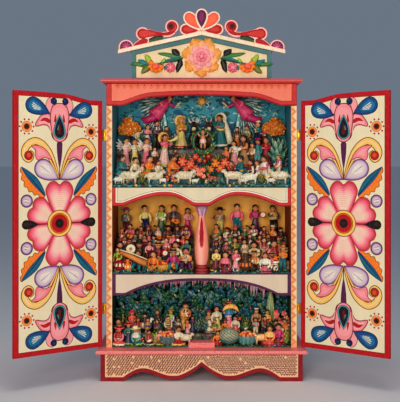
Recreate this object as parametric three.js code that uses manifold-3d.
// A folding shrine box: a painted wooden case on a scalloped plinth, with two hinged doors, a gabled top with a
// carved crest, and three tiers of small moulded and painted figures that stand on plaster terraces.
// Millimetres, +Z up, the doors open towards -Y. The doors are modelled open, as the box stands on show.
import * as THREE from "three";
import { mergeVertices } from "three/addons/utils/BufferGeometryUtils.js";
import Module from "manifold-3d";

const wasm = await Module();
wasm.setup();

// ---------------------------------------------------------------- driving dimensions
// Y is measured from the case's front face, and the whole object is centred on its own box at the end.
const GAP = 0.3; // between pieces that touch
const SLIVER = 0.2; // the finest detail kept where shapes are fused
const CASE_WIDTH = 400;
const CASE_DEPTH = 134;
const BOARD = 12; // side boards
const THIN = 8; // shelves, doors and the other boards
const FACING = 6; // the arched facings of the two lower tiers
const HALF_INSIDE = CASE_WIDTH / 2 - BOARD;

const PLINTH_HEIGHT = 57.5;
const PLINTH_WIDTH = 420;
const PLINTH_FRONT = -21;
const LEDGE = { top: 65, width: 438, front: -33, back: CASE_DEPTH + 6 };
const CORNICE = { bottom: 621, top: 629, width: 420, front: -20, back: CASE_DEPTH + 6 };

const FLOOR_LOW = LEDGE.top;
const FLOOR_MIDDLE = 219.5;
const FLOOR_HIGH = 402;
const BACK_FACE = 127; // inner face of the back board

const GABLE = { halfWidth: 147.5, front: 12, back: 98, ridge: 723, slope: 0.2226 };
// The roof boards reach far out only as a narrow trim along the front.
const ROOF = { reach: 176, thickness: 7.8, front: 3, back: 106, trim: 10, eave: 151 };
const CREST = { front: 5, thickness: 7 };

const DOOR = { bottom: 68.5, shoulder: 583.5, rise: 13.5, openAngle: 144 };
const HINGE = { x: 204, y: -0.5, radius: 3.1, height: 23, heights: [148, 512] };

// ---------------------------------------------------------------- materials
const paint = (color, roughness = 0.6) =>
  new THREE.MeshStandardMaterial({ color, roughness, metalness: 0 });
const RED = paint(0xb01c28, 0.5);
const CORAL = paint(0xf0695c, 0.5);
const CREAM = paint(0xe8d9b5);
const ORANGE = paint(0xdd8a3c);
const TEAL = paint(0x2f7c80);
const GREEN = paint(0x3c6b50);
const PINK = paint(0xe79a8f);
const PURPLE = paint(0x5b1a3f);
const MAGENTA = paint(0xb02a5e);
const GOLD = paint(0xc9a03a);
const WOOL = paint(0xd8cdb2, 0.8);
const UMBER = paint(0x5a3a2a, 0.7);
const BRASS = new THREE.MeshStandardMaterial({ color: 0xb08d4a, roughness: 0.4, metalness: 0.9 });

// ---------------------------------------------------------------- solids
function solid(geometry) {
  geometry.deleteAttribute("normal");
  geometry.deleteAttribute("uv");
  const merged = mergeVertices(geometry, 1e-4);
  const made = new wasm.Manifold(
    new wasm.Mesh({
      numProp: 3,
      vertProperties: new Float32Array(merged.attributes.position.array),
      triVerts: new Uint32Array(merged.index.array),
    }),
  );
  return made;
}

const join = (solids) => wasm.Manifold.union(solids);

const root = new THREE.Group();

function piece(name, material, shape, parent = root) {
  let geometry = shape;
  if (!shape.isBufferGeometry) {
    const mesh = shape.simplify(SLIVER).getMesh();
    const positions = new Float32Array(mesh.numVert * 3);
    for (let i = 0; i < mesh.numVert; i++)
      positions.set(mesh.vertProperties.subarray(i * mesh.numProp, i * mesh.numProp + 3), i * 3);
    geometry = new THREE.BufferGeometry()
      .setAttribute("position", new THREE.BufferAttribute(positions, 3))
      .setIndex(new THREE.BufferAttribute(mesh.triVerts, 1));
  }
  const mesh = new THREE.Mesh(geometry, material);
  mesh.name = name;
  parent.add(mesh);
  return mesh;
}

// A box given by its lowest and highest corners.
function block(x0, y0, z0, x1, y1, z1) {
  return new THREE.BoxGeometry(x1 - x0, y1 - y0, z1 - z0).translate(
    (x0 + x1) / 2,
    (y0 + y1) / 2,
    (z0 + z1) / 2,
  );
}

// A flat board cut to an outline of [x, z] points, from y = front back through its thickness.
function board(outline, front, thickness) {
  const shape = new THREE.Shape(outline.map(([x, z]) => new THREE.Vector2(x, z)));
  return new THREE.ExtrudeGeometry(shape, { depth: thickness, bevelEnabled: false })
    .rotateX(Math.PI / 2)
    .translate(0, front + thickness, 0);
}

// The same board seen from the side: an outline of [y, z] points, from x = left through its thickness.
function sideBoard(outline, left, thickness) {
  return board(
    outline.map(([y, z]) => [y, z]),
    0,
    thickness,
  )
    .rotateZ(Math.PI / 2)
    .translate(left + thickness, 0, 0);
}

const lathe = (profile, sides) =>
  new THREE.LatheGeometry(
    profile.map(([r, z]) => new THREE.Vector2(r, z)),
    sides,
  ).rotateX(Math.PI / 2);

const ball = (rx, ry, rz, x, y, z, sides = 6, rings = 4) =>
  new THREE.SphereGeometry(1, sides, rings).rotateX(Math.PI / 2).scale(rx, ry, rz).translate(x, y, z);

// A round bar between two points, thicker at one end if asked.
function bar(from, to, r0, r1 = r0, sides = 5) {
  const a = new THREE.Vector3(...from);
  const b = new THREE.Vector3(...to);
  const way = b.clone().sub(a);
  return new THREE.CylinderGeometry(r1, r0, way.length(), sides)
    .translate(0, way.length() / 2, 0)
    .applyQuaternion(
      new THREE.Quaternion().setFromUnitVectors(new THREE.Vector3(0, 1, 0), way.normalize()),
    )
    .translate(a.x, a.y, a.z);
}

const smooth = (t) => {
  const u = Math.min(1, Math.max(0, t));
  return u * u * (3 - 2 * u);
};

// Evenly spaced values from a to b, both ends included.
const steps = (a, b, n) => Array.from({ length: n + 1 }, (_, i) => a + ((b - a) * i) / n);

// ---------------------------------------------------------------- arched outlines
// Height of a camel-backed arch over its shoulders, as a share of its rise, at a distance from the middle.
const CAMEL = { foot: 168, knee: 95, kneeShare: 0.85 };
function camel(x) {
  const d = Math.abs(x);
  const t = Math.min(1, Math.max(0, (CAMEL.foot - d) / (CAMEL.foot - CAMEL.knee)));
  const flank = CAMEL.kneeShare * Math.sin((t * Math.PI) / 2) ** 1.15;
  const crown = d < CAMEL.knee ? (1 - CAMEL.kneeShare) * (1 - (d / CAMEL.knee) ** 2) : 0;
  return flank + crown;
}

// The middle tier's pair of arches, each steeper on the side of the baluster.
const PAIR = { foot: 165, crown: 76, inner: 15 };
function pairOfArches(x) {
  const d = Math.abs(x);
  if (d >= PAIR.foot || d <= PAIR.inner) return 0;
  const reach = d > PAIR.crown ? PAIR.foot - PAIR.crown : PAIR.crown - PAIR.inner;
  return Math.cos(((d - PAIR.crown) / reach) * (Math.PI / 2));
}

// The wide arch of the lowest tier.
const WIDE = { halfSpan: 161 };
const wideArch = (x) => Math.max(0, 1 - (Math.abs(x) / WIDE.halfSpan) ** 2.7);

// The board above an opening: straight along its top, arched along its bottom.
function facing(halfWidth, top, shoulder, rise, archAt, stations) {
  const under = stations.map((x) => [x, shoulder + rise * archAt(x)]);
  return [[halfWidth, top], [-halfWidth, top], [-halfWidth, shoulder], ...under, [halfWidth, shoulder]];
}

const FACINGS = {
  high: { top: CORNICE.bottom, shoulder: 573.5, rise: 21.8 },
  middle: { top: FLOOR_HIGH, shoulder: 362, rise: 23 },
  low: { top: FLOOR_MIDDLE, shoulder: 174.5, rise: 31 },
};

function facings() {
  const inner = HALF_INSIDE - GAP;
  const { high, middle, low } = FACINGS;
  const half = (a, b, n) => [...steps(-a, -b, n), ...steps(b, a, n)];
  piece(
    "facing_high",
    CORAL,
    board(
      facing(CASE_WIDTH / 2, high.top - GAP, high.shoulder, high.rise, camel, [
        ...steps(-CAMEL.foot, -CAMEL.knee, 5),
        ...steps(-60, 60, 4),
        ...steps(CAMEL.knee, CAMEL.foot, 5),
      ]),
      0,
      THIN,
    ),
  );
  piece(
    "facing_middle",
    CREAM,
    board(
      facing(
        inner,
        middle.top,
        middle.shoulder,
        middle.rise,
        pairOfArches,
        half(PAIR.foot, PAIR.inner, 10),
      ),
      1,
      FACING,
    ),
  );
  piece(
    "facing_low",
    CREAM,
    board(
      facing(inner, low.top, low.shoulder, low.rise, wideArch, steps(-WIDE.halfSpan, WIDE.halfSpan, 16)),
      1,
      FACING,
    ),
  );
}

// ---------------------------------------------------------------- case
function caseBoards() {
  const half = CASE_WIDTH / 2;
  const notch = FACINGS.high.shoulder - GAP;
  const side = [
    [0, LEDGE.top + GAP],
    [CASE_DEPTH, LEDGE.top + GAP],
    [CASE_DEPTH, CORNICE.bottom - GAP],
    [THIN + GAP, CORNICE.bottom - GAP],
    [THIN + GAP, notch],
    [0, notch],
  ];
  piece("side_left", ORANGE, sideBoard(side, -half, BOARD));
  piece("side_right", ORANGE, sideBoard(side, half - BOARD, BOARD));
  const inner = HALF_INSIDE - GAP;
  piece("back_board", TEAL, block(-inner, BACK_FACE, LEDGE.top + GAP, inner, CASE_DEPTH, CORNICE.bottom - GAP));
  const behind = 1 + FACING + GAP;
  for (const [name, top] of [
    ["shelf_high", FLOOR_HIGH],
    ["shelf_middle", FLOOR_MIDDLE],
  ])
    piece(name, RED, block(-inner, behind, top - THIN, inner, BACK_FACE - GAP, top));
}

// A board with a round nose along its front and its two ends, as the ledge and the cornice have.
function nosedBoard({ bottom, top, width, front, back }) {
  const r = (top - bottom) / 2;
  const inset = 0.7 * r;
  const ring = (reach) => [
    [-width / 2 + reach, front + reach],
    [width / 2 - reach, front + reach],
    [width / 2 - reach, back],
    [-width / 2 + reach, back],
  ];
  const levels = [
    [bottom, inset],
    [bottom + inset, 0],
    [top - inset, 0],
    [top, inset],
  ];
  const points = levels.flatMap(([z, reach]) => ring(reach).map(([x, y]) => [x, y, z]));
  const faces = [];
  for (let level = 0; level < levels.length - 1; level++)
    for (let i = 0; i < 4; i++) {
      const a = level * 4 + i;
      const b = level * 4 + ((i + 1) % 4);
      faces.push(a, b, b + 4, a, b + 4, a + 4);
    }
  const last = (levels.length - 1) * 4;
  faces.push(0, 2, 1, 0, 3, 2, last, last + 1, last + 2, last, last + 2, last + 3);
  return new THREE.BufferGeometry()
    .setAttribute("position", new THREE.Float32BufferAttribute(points.flat(), 3))
    .setIndex(faces);
}

// ---------------------------------------------------------------- plinth
const SCALLOP = { foot: 163, arch: 122, archRise: 18.7, bulge: 62, bulgeRise: 3, cusp: 32, cuspReach: 52 };
function scallop(x) {
  const d = Math.abs(x);
  const { foot, arch, archRise, bulge, bulgeRise, cusp, cuspReach } = SCALLOP;
  if (d > arch) return archRise * Math.cos(((d - arch) / (foot - arch)) * (Math.PI / 2));
  if (d > bulge) return bulgeRise + (archRise - bulgeRise) * smooth((d - bulge) / (arch - bulge));
  return bulgeRise + (cusp - bulgeRise) * Math.max(0, 1 - d / cuspReach) ** 1.5;
}

function plinth() {
  const half = PLINTH_WIDTH / 2;
  const top = PLINTH_HEIGHT - GAP;
  const { foot, arch, bulge } = SCALLOP;
  const right = [...steps(0, 40, 4), ...steps(bulge, arch, 5), ...steps(arch + 9, foot, 4)];
  const under = [...right.slice(1).reverse().map((x) => -x), ...right].map((x) => [x, scallop(x)]);
  const outline = [[half, top], [-half, top], [-half, 0], [-foot - 2, 0], ...under, [foot + 2, 0], [half, 0]];
  piece("plinth_front", CREAM, board(outline, PLINTH_FRONT, THIN));
  const back = CASE_DEPTH;
  const start = PLINTH_FRONT + THIN + GAP;
  const leg = 26;
  const middle = (start + back) / 2;
  const span = (back - start) / 2 - leg;
  const arc = steps(-1, 1, 8).map((u) => [middle + u * span, 20 * Math.sqrt(Math.max(0, 1 - u * u)) ]);
  const side = [[back, top], [start, top], [start, 0], ...arc, [back, 0]];
  piece("plinth_side_left", RED, sideBoard(side, -half, THIN));
  piece("plinth_side_right", RED, sideBoard(side, half - THIN, THIN));
  piece(
    "plinth_back",
    RED,
    block(-half + THIN + GAP, back - THIN, 24, half - THIN - GAP, back, top),
  );
}

// ---------------------------------------------------------------- baluster between the two middle arches
const BALUSTER = { y: 17, flute: { middle: 309, half: 30 } };

function baluster() {
  const foot = FLOOR_MIDDLE + GAP;
  const head = FACINGS.middle.shoulder - GAP;
  const profile = [
    [0, foot],
    [13.5, foot],
    [13, foot + 8],
    [9.5, foot + 17],
    [10.8, foot + 19],
    [14, foot + 38],
    [15, foot + 52],
    [14.2, foot + 66],
    [10.5, foot + 96],
    [7, foot + 118],
    [7.4, foot + 122],
    [9, foot + 128],
    [12.5, foot + 137],
    [12.5, head],
    [0, head],
  ];
  const { middle, half } = BALUSTER.flute;
  const flute = ball(3.4, 3, half, 0, -11.5, 0, 6, 6).rotateX(0.075).translate(0, 0, middle);
  const turned = solid(lathe(profile, 12)).subtract(solid(flute));
  piece("baluster", CORAL, turned.translate([0, BALUSTER.y, 0]));
}

// ---------------------------------------------------------------- gable and roof
const roofUnder = (x) => GABLE.ridge - GABLE.slope * Math.abs(x);

function gable() {
  const base = CORNICE.top + GAP;
  const wall = (half) => [
    [-half, base],
    [half, base],
    [half, roofUnder(half) - GAP],
    [0, roofUnder(0) - GAP],
    [-half, roofUnder(half) - GAP],
  ];
  piece("gable_front", CREAM, board(wall(GABLE.halfWidth), GABLE.front, THIN));
  // The sides and the back are one box that is open at the bottom and behind the front board.
  const box = board(wall(GABLE.halfWidth), GABLE.front + THIN + GAP, GABLE.back - GABLE.front - THIN - GAP);
  const room = board(
    wall(GABLE.halfWidth - THIN).map(([x, z], i) => [x, i < 2 ? z - 5 : z - THIN]),
    GABLE.front,
    GABLE.back - THIN - GABLE.front,
  );
  piece("gable_box", TEAL, solid(box).subtract(solid(room)));
  for (const [name, side] of [
    ["roof_left", -1],
    ["roof_right", 1],
  ]) {
    const slab = (reach, front, back) => {
      const near = side * (GAP / 2);
      const far = side * reach;
      const outline = [
        [near, roofUnder(near)],
        [far, roofUnder(far)],
        [far, roofUnder(far) + ROOF.thickness],
        [near, roofUnder(near) + ROOF.thickness],
      ];
      return solid(board(side > 0 ? outline : outline.reverse(), front, back - front));
    };
    const trimBack = ROOF.front + ROOF.trim;
    piece(name, CREAM, join([slab(ROOF.reach, ROOF.front, trimBack), slab(ROOF.eave, trimBack - 1, ROOF.back)]));
  }
}

// ---------------------------------------------------------------- crest
// A petal or drop: pointed where it starts, round at its far end. angle is from straight up, towards +X.
function petal(x, z, angle, length, width, n = 10) {
  const points = steps(-Math.PI, Math.PI, n)
    .slice(1)
    .map((t) => {
      const along = (length * (1 + Math.cos(t))) / 2;
      const across = (width / 2) * Math.sin(t) * Math.sqrt((1 + Math.cos(t)) / 2) * 1.3;
      return [across, along];
    });
  const a = THREE.MathUtils.degToRad(angle);
  return points.map(([u, v]) => [x + u * Math.cos(a) + v * Math.sin(a), z - u * Math.sin(a) + v * Math.cos(a)]);
}

const round = (x, z, r, n = 12) =>
  steps(0, 2 * Math.PI, n)
    .slice(1)
    .map((t) => [x + r * Math.cos(t), z + r * Math.sin(t)]);

// A band that follows a smooth line through [x, z, half width] points.
function ribbon(line, n) {
  const way = new THREE.CatmullRomCurve3(line.map((p) => new THREE.Vector3(...p)));
  const left = [];
  const right = [];
  for (const t of steps(0, 1, n)) {
    const p = way.getPoint(t);
    const d = way.getTangent(t);
    const k = p.z / Math.hypot(d.x, d.y);
    left.push([p.x - d.y * k, p.y + d.x * k]);
    right.push([p.x + d.y * k, p.y - d.x * k]);
  }
  return [...left, ...right.reverse()];
}

function crest() {
  const cut = (outlines) => {
    const whole = join(outlines.map((o) => solid(counterClockwise(o, CREST.front, CREST.thickness))));
    const half = 200;
    const top = (x) => roofUnder(x) + ROOF.thickness + GAP;
    const roof = [[half, 600], [half, top(half)], [0, top(0)], [-half, top(half)], [-half, 600]];
    return whole.subtract(solid(board(roof, CREST.front - 2, CREST.thickness + 4)));
  };
  const base = GABLE.ridge + ROOF.thickness + 1;
  const fan = [
    [0, 48, 27],
    [-43, 51.5, 28],
    [43, 51.5, 28],
    [-85, 46.5, 26],
    [85, 46.5, 26],
  ];
  piece("crest_palmette", CORAL, cut(fan.map(([angle, length, width]) => petal(0, base, angle, length, width))));
  for (const [name, side] of [
    ["crest_left", -1],
    ["crest_right", 1],
  ]) {
    const at = (line) => line.map(([x, ...rest]) => [side * x, ...rest]);
    const scroll = at([
      [58, 730.5, 6],
      [70, 724.5, 6.5],
      [88, 724, 5.4],
      [107, 725.5, 8],
      [123.5, 725.5, 13.5],
    ]);
    const curl = round(side * 62.5, 740.5, 14.5);
    const bulb = round(side * 124.5, 725.5, 14.4);
    const leaf = petal(side * 121, 706, side * -77, 43, 15, 8);
    const wedge = petal(side * 148, 698.5, side * -68, 39, 16, 8);
    const end = round(side * 159.1, 697, 16.2);
    piece(name, RED, cut([ribbon(scroll, 8), curl, bulb, leaf, wedge, end]));
  }
}

// An outline may run either way round, so it is turned before it is cut.
function counterClockwise(outline, front, thickness) {
  const area = THREE.ShapeUtils.area(outline.map(([x, z]) => new THREE.Vector2(x, z)));
  return board(area < 0 ? [...outline].reverse() : outline, front, thickness);
}

// ---------------------------------------------------------------- flowers on the gable
const ROSE = { z: 677, outer: 40, inner: 26 };

// A cupped petal: a squashed ball leaning out from the flower's middle.
function cuppedPetal(angle, reach, size, lift, y, z) {
  const a = THREE.MathUtils.degToRad(angle);
  return ball(size, lift, size * 0.78, 0, 0, 0, 6, 4)
    .rotateY(-a)
    .translate(Math.cos(a) * reach, y, z + Math.sin(a) * reach);
}

function rose() {
  const face = GABLE.front - GAP;
  const outer = steps(0, 360, 8)
    .slice(1)
    .map((a) => cuppedPetal(a, ROSE.outer - 13, 13, 4.5, face - 4, ROSE.z));
  const inner = steps(36, 396, 6)
    .slice(1)
    .map((a) => cuppedPetal(a, ROSE.inner - 11, 11, 5, face - 8, ROSE.z));
  const heart = ball(12, 7, 12, 0, face - 9.5, ROSE.z, 8, 5);
  const disc = board(round(0, ROSE.z, ROSE.outer - 8, 12), face - 4, 4);
  const whole = join([solid(disc), ...outer.map(solid), ...inner.map(solid), solid(heart)]);
  const behind = block(-60, face, 600, 60, face + 30, 760);
  piece("gable_rose", PINK, whole.subtract(solid(behind)));
}

// A pointed leaf, thick along its midrib.
function leaf(x, z, angle, length, width, y, thick = 3) {
  const a = THREE.MathUtils.degToRad(angle);
  return new THREE.SphereGeometry(1, 4, 4)
    .rotateZ(Math.PI / 2)
    .scale(length / 2, thick, width / 2)
    .translate(length / 2, 0, 0)
    .rotateY(-a)
    .translate(x, y, z);
}

function sprays() {
  const face = GABLE.front - GAP;
  for (const [name, side] of [
    ["spray_left", -1],
    ["spray_right", 1],
  ]) {
    const turn = (angle) => (side > 0 ? angle : 180 - angle);
    const stem = bar([side * 41, face - 3, 674], [side * 114, face - 3, 660], 2.6);
    const leaves = [
      [42, 677, 8, 54, 13],
      [42, 675, -16, 46, 10],
      [43, 673, -70, 32, 12],
      [44, 673, 66, 26, 12],
      [107, 661, 52, 24, 12],
      [108, 661, 4, 45, 14],
      [108, 660, -42, 27, 12],
    ].map(([x, z, angle, length, width]) => leaf(side * x, z, turn(angle), length, width, face - 4));
    const bell = ball(13, 7, 12, side * 97, face - 5, 657, 7, 4);
    const bud = ball(11.5, 6.5, 11.5, side * 66, face - 4, 655, 6, 4);
    const whole = join([stem, bell, bud, ...leaves].map(solid));
    const behind = block(-200, face, 600, 200, face + 30, 760);
    piece(name, GREEN, whole.subtract(solid(behind)));
  }
}

// ---------------------------------------------------------------- doors and hinges
// Each door is drawn closed, measured from its hinge pin, and then swung open with its hinge leaves.
function doors() {
  for (const [name, side] of [
    ["left", -1],
    ["right", 1],
  ]) {
    const swing = new THREE.Group();
    swing.position.set(side * HINGE.x, HINGE.y, 0);
    swing.rotation.z = THREE.MathUtils.degToRad(side * DOOR.openAngle);
    root.add(swing);
    const edge = 5;
    const meet = HINGE.x - 0.6;
    const inward = -side;
    const crown = steps(meet, edge, 16).map((x) => [inward * x, DOOR.shoulder + DOOR.rise * camel(HINGE.x - x)]);
    const outline = [[inward * edge, DOOR.bottom], [inward * meet, DOOR.bottom], ...crown];
    piece(`door_${name}`, CREAM, counterClockwise(outline, -THIN, THIN), swing);
    for (const [level, z] of [
      ["low", HINGE.heights[0]],
      ["high", HINGE.heights[1]],
    ])
      hinge(`hinge_${name}_${level}`, side, z, edge, swing);
  }
}

// A butt hinge: three knuckles round a pin, one leaf on the case's side and one on the door's edge.
function hinge(name, side, z, doorEdge, swing) {
  const { radius, height } = HINGE;
  const knuckle = height / 3;
  const low = z - height / 2;
  const high = z + height / 2;
  const round = (r, from, to, sides) =>
    new THREE.CylinderGeometry(r, r, to - from, sides).rotateX(Math.PI / 2).translate(0, 0, (from + to) / 2);
  const inward = (x0, y0, z0, x1, y1, z1) =>
    side > 0 ? block(-x1, y0, z0, -x0, y1, z1) : block(x0, y0, z0, x1, y1, z1);
  const outer = [
    [low, low + knuckle - GAP],
    [high - knuckle + GAP, high],
  ];
  const caseFace = HINGE.x - CASE_WIDTH / 2 - GAP;
  const fixed = [inward(caseFace - 1.2, radius + 0.5, low, caseFace, 19, high), round(1.2, low, high, 6)];
  for (const [a, b] of outer)
    fixed.push(round(radius, a, b, 8), inward(caseFace - 1.2, 0.3, a, caseFace, radius + 0.6, b));
  piece(`${name}_case`, BRASS, join(fixed.map(solid))).position.set(side * HINGE.x, HINGE.y, 0);
  const a = low + knuckle;
  const b = high - knuckle;
  const edgeFace = doorEdge - GAP;
  const moving = [
    inward(edgeFace - 1.2, -THIN, low, edgeFace, -0.5, high),
    inward(0, -1.8, a, edgeFace, -0.5, b),
    round(radius, a, b, 8),
  ];
  const bore = round(1.6, low - 1, high + 1, 6);
  piece(`${name}_door`, BRASS, join(moving.map(solid)).subtract(solid(bore)), swing);
}

// ---------------------------------------------------------------- figures
// Every tier is filled with small moulded figures. They stand in rows on stepped ground, and the smaller ones
// are fused with the step they stand on. A row is [x, height, kind] from left to right.
// Half widths and heights of a standing, a kneeling and a hatted figure, as shares of its height.
const STANDING = [
  [0, 0],
  [0.24, 0],
  [0.16, 0.45],
  [0.21, 0.68],
  [0.06, 0.78],
  [0.11, 0.9],
  [0, 1],
];
const KNEELING = [
  [0, 0],
  [0.38, 0],
  [0.3, 0.26],
  [0.24, 0.6],
  [0.07, 0.72],
  [0.14, 0.86],
  [0, 1],
];
const HATTED = [
  [0, 0],
  [0.24, 0],
  [0.16, 0.45],
  [0.2, 0.66],
  [0.08, 0.78],
  [0.17, 0.88],
  [0.08, 1],
  [0, 1],
];

const figure = (outline, sides = 4) => (x, y, z, height) => {
  const profile = outline.map(([r, h]) => [r * height, h * height]);
  return [lathe(profile, sides).scale(1, 0.75, 1).translate(x, y, z)];
};

const kinds = {
  person: figure(STANDING),
  kneeler: figure(KNEELING),
  hatted: figure(HATTED),
  sheep: (x, y, z, height) => {
    const side = x > 0 ? -1 : 1;
    const legs = [-0.42, 0.42].map((u) =>
      bar([x + u * height, y, z], [x + u * height, y, z + 0.5 * height], 0.1 * height, 0.13 * height, 3),
    );
    return [
      ball(0.74 * height, 7.5, 0.38 * height, x, y, z + 0.6 * height, 5, 3),
      ball(0.24 * height, 5, 0.18 * height, x + side * 0.72 * height, y, z + 0.83 * height, 4, 3),
      ...legs,
    ];
  },
  plant: (x, y, z, height) => [
    ball(0.32 * height, 8, 0.54 * height, x, y, z + 0.48 * height, 4, 3),
  ],
  lily: (x, y, z, height) => [
    bar([x, y, z], [x, y, z + 0.6 * height], 3, 2, 3),
    lathe([[0, 0], [0.34, 0.4], [0, 0.3]].map(([r, h]) => [r * height, h * height]), 5)
      .translate(x, y, z + 0.58 * height),
  ],
  pot: (x, y, z, height) => [
    lathe([[0, 0], [0.3, 0], [0.5, 0.5], [0.3, 0.9], [0, 0.9]].map(([r, h]) => [r * height, h * height]), 5)
      .translate(x, y, z),
  ],
};

const row = (list, y, z) =>
  list.flatMap(([x, height, kind = "person"]) => kinds[kind](x, y, z, height)).map(solid);

// One step of ground from a floor up, clipped with all that stands on it to its own cell.
function step(x0, x1, y0, y1, floor, rise, list, ceiling) {
  const ground = solid(block(x0, y0, floor, x1, y1, floor + rise));
  const cell = solid(block(x0, y0, floor, x1, y1, ceiling));
  const middle = (y0 + y1) / 2;
  return join([ground, ...row(list, middle, floor + rise - 0.5)]).intersect(cell);
}

const mirrored = (list) => list.map(([x, ...rest]) => [-x, ...rest]).reverse();

// The three tiers: where each step of the ground starts and how far it rises.
const ROWS = {
  high: { y: [9, 31, 53, 83, 126.7], rise: [6, 20, 42, 85] },
  middle: { y: [9, 33, 55, 83, 126.7], rise: [3, 26, 52, 78] },
  low: { y: [3, 34, 64, 126.7], rise: [3, 24, 44] },
};
const EDGE = HALF_INSIDE - GAP;
const POST = 18; // half the width kept free round the baluster

function nativity() {
  const { y, rise } = ROWS.high;
  const floor = FLOOR_HIGH + GAP;
  const ceiling = CORNICE.bottom - GAP;
  const flock = [
    [-176, 18, "sheep"],
    [-152, 33, "sheep"],
    [-126, 26, "plant"],
    [-99, 31, "sheep"],
    [-66, 26, "lily"],
    [-36, 33, "sheep"],
    [3, 40, "lily"],
    [32, 22, "plant"],
    [66, 33, "sheep"],
    [103, 28, "sheep"],
    [131, 27, "plant"],
    [163, 33, "sheep"],
  ];
  piece("flock", WOOL, step(-EDGE, EDGE, y[0], y[1] - GAP, floor, rise[0], flock, ceiling));
  const left = [
    [-170, 52, "hatted"],
    [-143, 44, "kneeler"],
    [-116, 48, "kneeler"],
    [-66, 50, "kneeler"],
    [-40, 40, "lily"],
    [-24, 34, "lily"],
  ];
  const right = [
    [30, 38, "lily"],
    [48, 36, "lily"],
    [84, 48, "kneeler"],
    [110, 44, "plant"],
    [136, 50, "kneeler"],
    [165, 52, "hatted"],
  ];
  const low = (list, x0, x1) => step(x0, x1, y[1], y[2] - GAP, floor, rise[1], list, ceiling);
  piece("shepherds_left", ORANGE, low([...left, [-6, 26, "plant"]], -EDGE, -GAP / 2));
  piece("shepherds_right", TEAL, low([[10, 30, "plant"], ...right], GAP / 2, EDGE));
  const worshipLeft = [
    [-166, 66],
    [-146, 60],
    [-122, 64],
    [-82, 74],
    [-54, 46, "plant"],
  ];
  const worshipRight = [
    [52, 48, "plant"],
    [92, 72],
    [132, 66],
    [165, 74, "plant"],
  ];
  const middle = (list, x0, x1) => step(x0, x1, y[2], y[3] - GAP, floor, rise[2], list, ceiling);
  const lilies = [
    [-13, 32, "lily"],
    [15, 32, "lily"],
  ];
  piece("worshippers", PINK, middle([...worshipLeft, ...lilies, ...worshipRight], -EDGE, EDGE));
  const far = [
    [-122, 58],
    [-91, 62],
    [88, 58],
    [122, 72],
  ];
  piece("bank", GREEN, step(-EDGE, EDGE, y[3], y[4] - GAP, floor, rise[3], far, ceiling));
  holyFamily(floor + rise[3] + GAP, (y[3] + y[4]) / 2 - 4);
  heavens();
}

// The two parents with haloes, the child in its wreath, and the two beasts between them.
function holyFamily(ground, y) {
  const halo = (x, z, r) => new THREE.CylinderGeometry(r, r, 2, 10).translate(x, y + 6, z);
  const parent = (x, height) => [...figure(STANDING, 6)(x, y, ground, height), halo(x, ground + 0.88 * height, 13)];
  piece("joseph", GOLD, join(parent(-45, 74).map(solid)));
  piece("virgin", TEAL, join(parent(44, 74).map(solid)));
  const beast = (x, side) => [
    ball(10, 13, 15, x, y + 2, ground + 16, 6, 4),
    bar([x, y, ground + 24], [x + side * 3, y - 6, ground + 46], 8, 5, 5),
    ball(6.5, 9, 8, x + side * 3, y - 8, ground + 48, 6, 4),
    ball(2.6, 2.4, 8, x + side * 3 - 5, y - 6, ground + 54, 4, 3),
    ball(2.6, 2.4, 8, x + side * 3 + 5, y - 6, ground + 54, 4, 3),
  ];
  const clip = (list, x0, x1) =>
    join(list.map(solid)).intersect(solid(block(x0, 60, ground, x1, 126, ground + 100)));
  piece("ox", UMBER, clip(beast(-17, 1), -31, -1));
  piece("donkey", WOOL, clip(beast(16, -1), 1, 30));
  const wreath = new THREE.TorusGeometry(18, 4.2, 5, 14).rotateX(Math.PI / 2);
  const child = figure(STANDING, 5)(0, 0, -15.5, 33);
  const whole = join([wreath, ...child].map(solid));
  piece("wreath_child", GREEN, whole.translate([3, ROWS.high.y[3] - 24, FLOOR_HIGH + 98.6]));
}

// The star, the flying angels and the two trees of the highest tier.
function heavens() {
  const wall = BACK_FACE - GAP;
  const points = steps(0, 2 * Math.PI, 16)
    .slice(1)
    .map((t, i) => [Math.sin(t) * (i % 2 ? 15 : 6), 591 + Math.cos(t) * (i % 2 ? 15 : 6)]);
  piece("star", GOLD, counterClockwise(points, wall - 5, 5));
  for (const [name, side] of [
    ["angel_left", -1],
    ["angel_right", 1],
  ]) {
    const parts = [
      bar([side * 74, wall - 9, 592], [side * 112, wall - 9, 556], 9, 15, 6),
      ball(6.5, 6.5, 7.5, side * 71, wall - 10, 596, 6, 4),
      ball(27, 4, 8, 0, 0, 0, 6, 4).rotateY(side * -0.35).translate(side * 103, wall - 4, 595),
      ball(26, 4, 8, 0, 0, 0, 6, 4).rotateY(side * 0.05).translate(side * 108, wall - 4, 581),
      bar([side * 76, wall - 10, 588], [side * 62, wall - 14, 578], 3.5, 2.5, 5),
    ];
    const front = block(-190, 90, 530, 190, wall, 620);
    piece(name, MAGENTA, join(parts.map(solid)).intersect(solid(front)));
    const trunk = bar([side * 160, 104, FLOOR_HIGH + 85.6], [side * 161, 104, 530], 5, 3.5, 6);
    const tops = [
      [150, 533, 13],
      [166, 538, 14],
      [173, 527, 12],
      [158, 524, 12],
    ].map(([x, z, r]) => ball(r, r, r, side * x, 104, z, 6, 4));
    const tree = join([trunk, ...tops].map(solid)).intersect(solid(block(-EDGE, 84, 480, EDGE, 126, 600)));
    piece(side < 0 ? "tree_left" : "tree_right", ORANGE, tree);
  }
}

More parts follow.
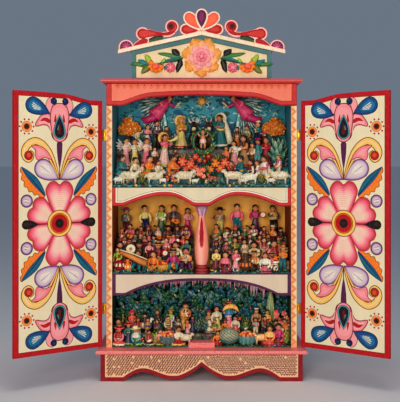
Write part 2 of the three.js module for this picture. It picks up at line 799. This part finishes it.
function street() {
  const { y, rise } = ROWS.middle;
  const floor = FLOOR_MIDDLE + GAP;
  const ceiling = FLOOR_HIGH - THIN - GAP;
  const front = [
    [-172, 30, "pot"],
    [-150, 30, "pot"],
    [-128, 48, "kneeler"],
    [-104, 50],
    [-84, 38, "kneeler"],
    [-60, 52, "hatted"],
    [-34, 50],
  ];
  const second = [-174, -152, -130, -108, -86, -64, -42, -22].map((x, i) => [x, 48 + 4 * (i % 3), "hatted"]);
  const third = [-170, -145, -121, -98, -76, -54, -32].map((x, i) => [x, 52 + 5 * (i % 2)]);
  const frontRight = [
    [-168, 60, "hatted"],
    [-140, 36, "kneeler"],
    [-116, 48, "kneeler"],
    [-92, 40, "pot"],
    [-70, 50],
    [-48, 44, "kneeler"],
    [-29, 50],
  ];
  const crowd = (list, row, side) => {
    const x = side < 0 ? [-EDGE, -POST] : [POST, EDGE];
    const people = side < 0 ? list : mirrored(list);
    return step(x[0], x[1], y[row], y[row + 1] - (row === 2 ? GAP : 0), floor, rise[row], people, ceiling);
  };
  const left = join([crowd(front, 0, -1), crowd(second, 1, -1), crowd(third, 2, -1)]);
  const right = join([crowd(frontRight, 0, 1), crowd(second, 1, 1), crowd(third, 2, 1)]);
  piece("street_left", ORANGE, left);
  piece("street_right", CREAM, right);
  const players = [
    [-170, 58, "hatted"],
    [-124, 74, "hatted"],
    [-91, 73],
    [-58, 74],
    [-30, 64],
  ];
  const playersRight = [
    [-162, 74, "hatted"],
    [-119, 73],
    [-81, 75],
    [-40, 73, "hatted"],
  ];
  const back = (list, x0, x1) => step(x0, x1, y[3], y[4] - GAP, floor, rise[3], list, ceiling);
  piece("band_left", PURPLE, back(players, -EDGE, -GAP / 2));
  piece("band_right", MAGENTA, back(mirrored(playersRight), GAP / 2, EDGE));
}

function harvest() {
  const { y, rise } = ROWS.low;
  const floor = FLOOR_LOW + GAP;
  const ceiling = FLOOR_MIDDLE - THIN - GAP;
  const apron = 28;
  const front = [
    [-170, 44, "kneeler"],
    [-146, 38, "sheep"],
    [-114, 46, "kneeler"],
    [-39, 34, "kneeler"],
  ];
  const second = [-172, -148, -124, -100, -76, -52, -29].map((x, i) => [x, 52 + 4 * (i % 3), i % 2 ? "hatted" : "person"]);
  const frontRight = [
    [-175, 40, "plant"],
    [-148, 28, "sheep"],
    [-50, 38, "pot"],
  ];
  const field = (list, row, side, near) => {
    const x = side < 0 ? [-EDGE, -near] : [near, EDGE];
    const people = side < 0 ? list : mirrored(list);
    return step(x[0], x[1], y[row], y[row + 1] - (row === 1 ? GAP : 0), floor, rise[row], people, ceiling);
  };
  const left = join([field(front, 0, -1, apron), field(second, 1, -1, GAP / 2)]);
  const right = join([field(frontRight, 0, 1, apron), field(second, 1, 1, GAP / 2)]);
  piece("harvest_left", PINK, left);
  piece("harvest_right", WOOL, right);
  thicket(floor, y[2], y[3] - GAP, rise[2], ceiling);
  for (const [name, x] of [
    ["fruit_tub_left", -72],
    ["fruit_tub_right", 96],
  ]) {
    const base = floor + rise[0] + GAP;
    const tub = lathe([[0, 0], [15, 0], [19, 17], [17, 17], [0, 14]], 10).scale(1.1, 0.6, 1);
    const fruit = [-11, 0, 11, -6, 6].map((u, i) =>
      ball(6, 6, 6, u, i % 2 ? 2.5 : -2.5, i < 3 ? 16 : 22, 5, 3),
    );
    const whole = join([tub, ...fruit].map(solid));
    piece(name, TEAL, whole.translate([x, (y[0] + y[1]) / 2, base]));
  }
}

// A hedge of prickly pears: flat oval pads growing out of one another, rank above rank.
function thicket(floor, y0, y1, rise, ceiling) {
  const ground = floor + rise;
  const depth = y0 + 22;
  const pads = [];
  steps(-168, 168, 8).forEach((x, i) => {
    const lean = 0.25 * Math.sin(2.3 * i);
    const tall = 12 + 3 * Math.sin(1.7 * i);
    for (const [u, w, dy] of [
      [0, tall, 0],
      [1, tall + 25, 2],
      [-1, tall + 28, -2],
    ]) {
      const pad = ball(14, 6, 19, 0, 0, 0, 5, 3).rotateY(lean + u * 0.5);
      pads.push(pad.translate(x + u * 12, depth + dy, ground + w));
    }
  });
  const column = bar([150, y0 + 12, ground - 1], [150, y0 + 12, ground + 76], 7.5, 4.5, 6);
  const cell = solid(block(-EDGE, y0, floor, EDGE, y1, ceiling));
  const bank = solid(block(-EDGE, y0, floor, EDGE, y1, ground));
  const whole = join([bank, ...[...pads, column].map(solid)]).intersect(cell);
  piece("thicket", GREEN, whole);
}

// ---------------------------------------------------------------- the whole box
caseBoards();
piece("cornice", RED, nosedBoard(CORNICE));
const doorstep = block(-27.5, ROWS.low.y[0], LEDGE.top - 1, 27.5, ROWS.low.y[1] - GAP, LEDGE.top + 10);
piece("ledge", CORAL, join([nosedBoard({ bottom: PLINTH_HEIGHT, ...LEDGE }), doorstep].map(solid)));
facings();
plinth();
baluster();
gable();
crest();
rose();
sprays();
doors();
nativity();
street();
harvest();

// The origin is the middle of the whole object's box, at its foot.
const box = new THREE.Box3().setFromObject(root);
root.position.set(-(box.min.x + box.max.x) / 2, -(box.min.y + box.max.y) / 2, -box.min.z);

export default root;
